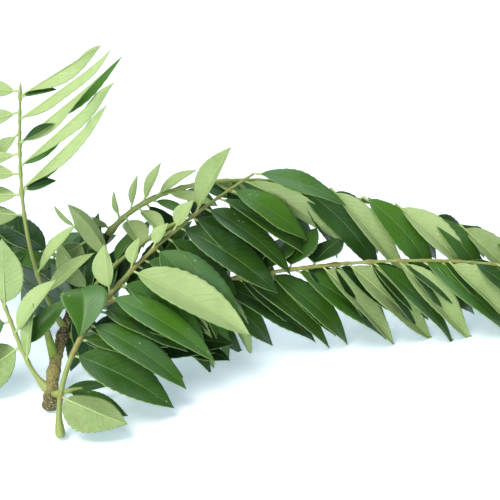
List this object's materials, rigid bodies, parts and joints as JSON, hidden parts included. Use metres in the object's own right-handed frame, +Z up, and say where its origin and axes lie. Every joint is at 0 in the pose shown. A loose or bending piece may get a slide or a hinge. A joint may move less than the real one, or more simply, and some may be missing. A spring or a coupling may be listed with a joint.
{
  "type": "curry leaf sprig",
  "caption": "A cut sprig of curry leaves lying down, with a short woody stem and arching compound leaves of pointed green leaflets.",
  "frame": {"origin": "centre of the footprint, on the surface the sprig lies on", "axes": "+X from the cut stem towards the leaf tips, +Y to the back, +Z up"},
  "size_m": [0.2934, 0.1312, 0.1207],
  "materials": {
    "bark": "rough speckled bark",
    "green_shoot": "smooth green bark",
    "rachis_skin": "smooth yellow-green skin",
    "leaflet_green": "waxy dark green above, pale and matt below"
  },
  "bodies": {
    "root": {"leaf_a_leaflet_01": "leaflet_green", "leaf_a_leaflet_02": "leaflet_green", "leaf_a_leaflet_03": "leaflet_green", "leaf_a_leaflet_04": "leaflet_green", "leaf_a_leaflet_05": "leaflet_green", "leaf_a_leaflet_06": "leaflet_green", "leaf_a_leaflet_07": "leaflet_green", "leaf_a_leaflet_08": "leaflet_green", "leaf_a_leaflet_09": "leaflet_green", "leaf_a_leaflet_10": "leaflet_green", "leaf_a_leaflet_11": "leaflet_green", "leaf_a_leaflet_12": "leaflet_green", "leaf_a_leaflet_13": "leaflet_green", "leaf_a_rachis": "rachis_skin", "leaf_b_leaflet_01": "leaflet_green", "leaf_b_leaflet_02": "leaflet_green", "leaf_b_leaflet_03": "leaflet_green", "leaf_b_leaflet_04": "leaflet_green", "leaf_b_rachis": "rachis_skin", "leaf_c_leaflet_01": "leaflet_green", "leaf_c_leaflet_02": "leaflet_green", "leaf_c_leaflet_03": "leaflet_green", "leaf_c_leaflet_04": "leaflet_green", "leaf_c_leaflet_05": "leaflet_green", "leaf_c_leaflet_06": "leaflet_green", "leaf_c_leaflet_07": "leaflet_green", "leaf_c_leaflet_08": "leaflet_green", "leaf_c_rachis": "rachis_skin", "leaf_d_leaflet_01": "leaflet_green", "leaf_d_rachis": "rachis_skin", "leaf_e_leaflet_01": "leaflet_green", "leaf_e_leaflet_02": "leaflet_green", "leaf_e_leaflet_03": "leaflet_green", "leaf_e_leaflet_04": "leaflet_green", "leaf_e_leaflet_05": "leaflet_green", "leaf_e_leaflet_06": "leaflet_green", "leaf_e_leaflet_07": "leaflet_green", "leaf_e_leaflet_08": "leaflet_green", "leaf_e_rachis": "rachis_skin", "leaf_f_leaflet_01": "leaflet_green", "leaf_f_leaflet_02": "leaflet_green", "leaf_f_leaflet_03": "leaflet_green", "leaf_f_leaflet_04": "leaflet_green", "leaf_f_leaflet_05": "leaflet_green", "leaf_f_leaflet_06": "leaflet_green", "leaf_f_leaflet_07": "leaflet_green", "leaf_f_leaflet_08": "leaflet_green", "leaf_f_leaflet_09": "leaflet_green", "leaf_f_leaflet_10": "leaflet_green", "leaf_f_leaflet_11": "leaflet_green", "leaf_f_leaflet_12": "leaflet_green", "leaf_f_rachis": "rachis_skin", "leaf_g_leaflet_01": "leaflet_green", "leaf_g_rachis": "rachis_skin", "leaf_h_leaflet_01": "leaflet_green", "leaf_h_leaflet_02": "leaflet_green", "leaf_h_rachis": "rachis_skin", "leaf_i_rachis": "rachis_skin", "main_stem": "bark", "side_stub": "green_shoot"}
  },
  "joints": []
}
